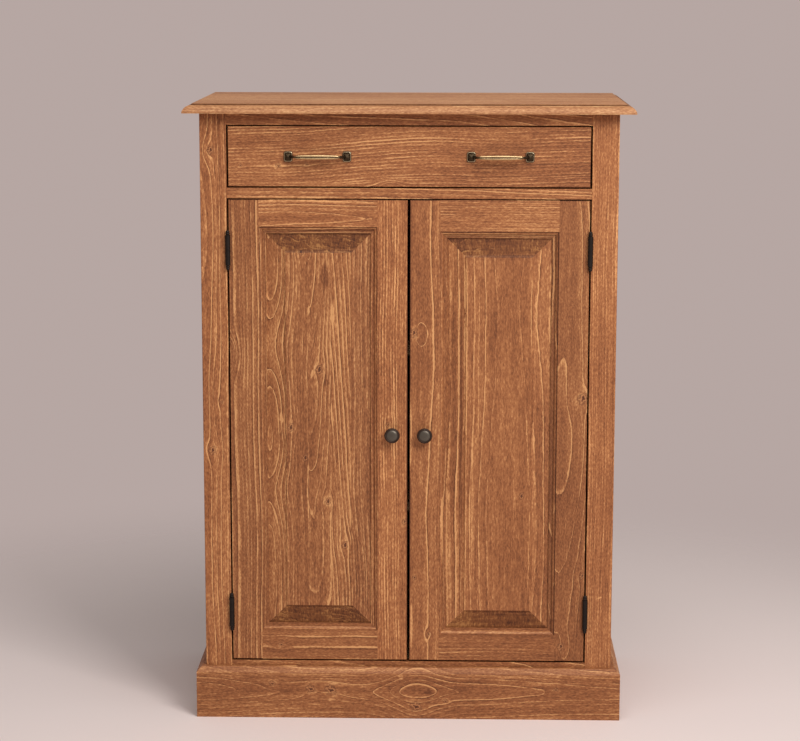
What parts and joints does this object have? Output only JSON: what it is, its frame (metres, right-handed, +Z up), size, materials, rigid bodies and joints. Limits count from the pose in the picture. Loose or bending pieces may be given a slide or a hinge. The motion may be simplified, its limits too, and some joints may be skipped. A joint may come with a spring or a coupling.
{
  "type": "highboard",
  "caption": "Tall solid-wood cupboard with a moulded top, a wide drawer with bow pulls over a pair of raised-panel doors in a face frame, shelves inside, on a chamfered plinth.",
  "frame": {"origin": "on the floor, under the middle of the top board's outline", "axes": "+X to the right as seen from the front, +Y to the back, +Z up"},
  "size_m": [0.86, 0.45, 1.21],
  "materials": {
    "stained_wood": "honey-brown stained and waxed softwood, brushed so that the pale late wood stands out",
    "top_wood": "honey-brown stained and waxed softwood board, smoother and a little lighter than the front",
    "inner_wood": "thinly stained, unpolished softwood",
    "plywood": "plain plywood sheet",
    "antique_brass": "antique brass, dark in the hollows and rubbed bright on the edges",
    "dark_bronze": "dark burnished brass",
    "steel": "zinc-plated steel",
    "catch_plastic": "brown moulded plastic around a magnet"
  },
  "bodies": {
    "carcass": {"top_board": "top_wood", "top_stretcher_front": "inner_wood", "top_stretcher_rear": "inner_wood", "bottom_board": "inner_wood", "plinth_front": "stained_wood", "side_panel_left": "stained_wood", "side_panel_right": "stained_wood", "face_stile_left": "stained_wood", "face_stile_right": "stained_wood", "plinth_side_left": "stained_wood", "plinth_side_right": "stained_wood", "drawer_runner_left": "inner_wood", "drawer_runner_right": "inner_wood", "drawer_kicker_left": "inner_wood", "drawer_kicker_right": "inner_wood", "face_rail_top": "stained_wood", "face_rail_middle": "stained_wood", "face_rail_bottom": "stained_wood", "back_board_1": "inner_wood", "back_board_2": "inner_wood", "back_board_3": "inner_wood", "back_board_4": "inner_wood", "back_board_5": "inner_wood", "shelf_lower": "inner_wood", "shelf_upper": "inner_wood", "shelf_pins": "steel", "drawer_stops": "inner_wood", "magnetic_catches": "catch_plastic", "top_screws": "steel", "back_screws": "steel", "frame_hinges": "dark_bronze", "hinge_pins": "steel"},
    "drawer": {"drawer_front": "stained_wood", "drawer_back": "inner_wood", "drawer_bottom": "plywood", "drawer_side_left": "inner_wood", "drawer_side_right": "inner_wood", "pull_left": "antique_brass", "pull_right": "antique_brass", "pull_rosettes": "antique_brass", "pull_screws": "steel"},
    "left_door": {"left_door_hinge_stile": "stained_wood", "left_door_lock_stile": "stained_wood", "left_door_top_rail": "stained_wood", "left_door_bottom_rail": "stained_wood", "left_door_panel": "stained_wood", "left_door_knob": "dark_bronze", "left_door_knob_screw": "steel", "left_door_strike_plate": "steel", "left_door_hinges": "dark_bronze"},
    "right_door": {"right_door_hinge_stile": "stained_wood", "right_door_lock_stile": "stained_wood", "right_door_top_rail": "stained_wood", "right_door_bottom_rail": "stained_wood", "right_door_panel": "stained_wood", "right_door_knob": "dark_bronze", "right_door_knob_screw": "steel", "right_door_strike_plate": "steel", "right_door_hinges": "dark_bronze"}
  },
  "joints": [
    {"name": "drawer_slide", "type": "slide", "parent": "carcass", "child": "drawer", "axis": [0, -1, 0], "range_m": [0, 0.28]},
    {"name": "left_door_swing", "type": "hinge", "parent": "carcass", "child": "left_door", "pos_m": [-0.3475, -0.20008, 0.57075], "axis": [0, 0, -1], "range_deg": [0, 170]},
    {"name": "right_door_swing", "type": "hinge", "parent": "carcass", "child": "right_door", "pos_m": [0.3475, -0.20008, 0.57075], "axis": [0, 0, 1], "range_deg": [0, 170]}
  ]
}
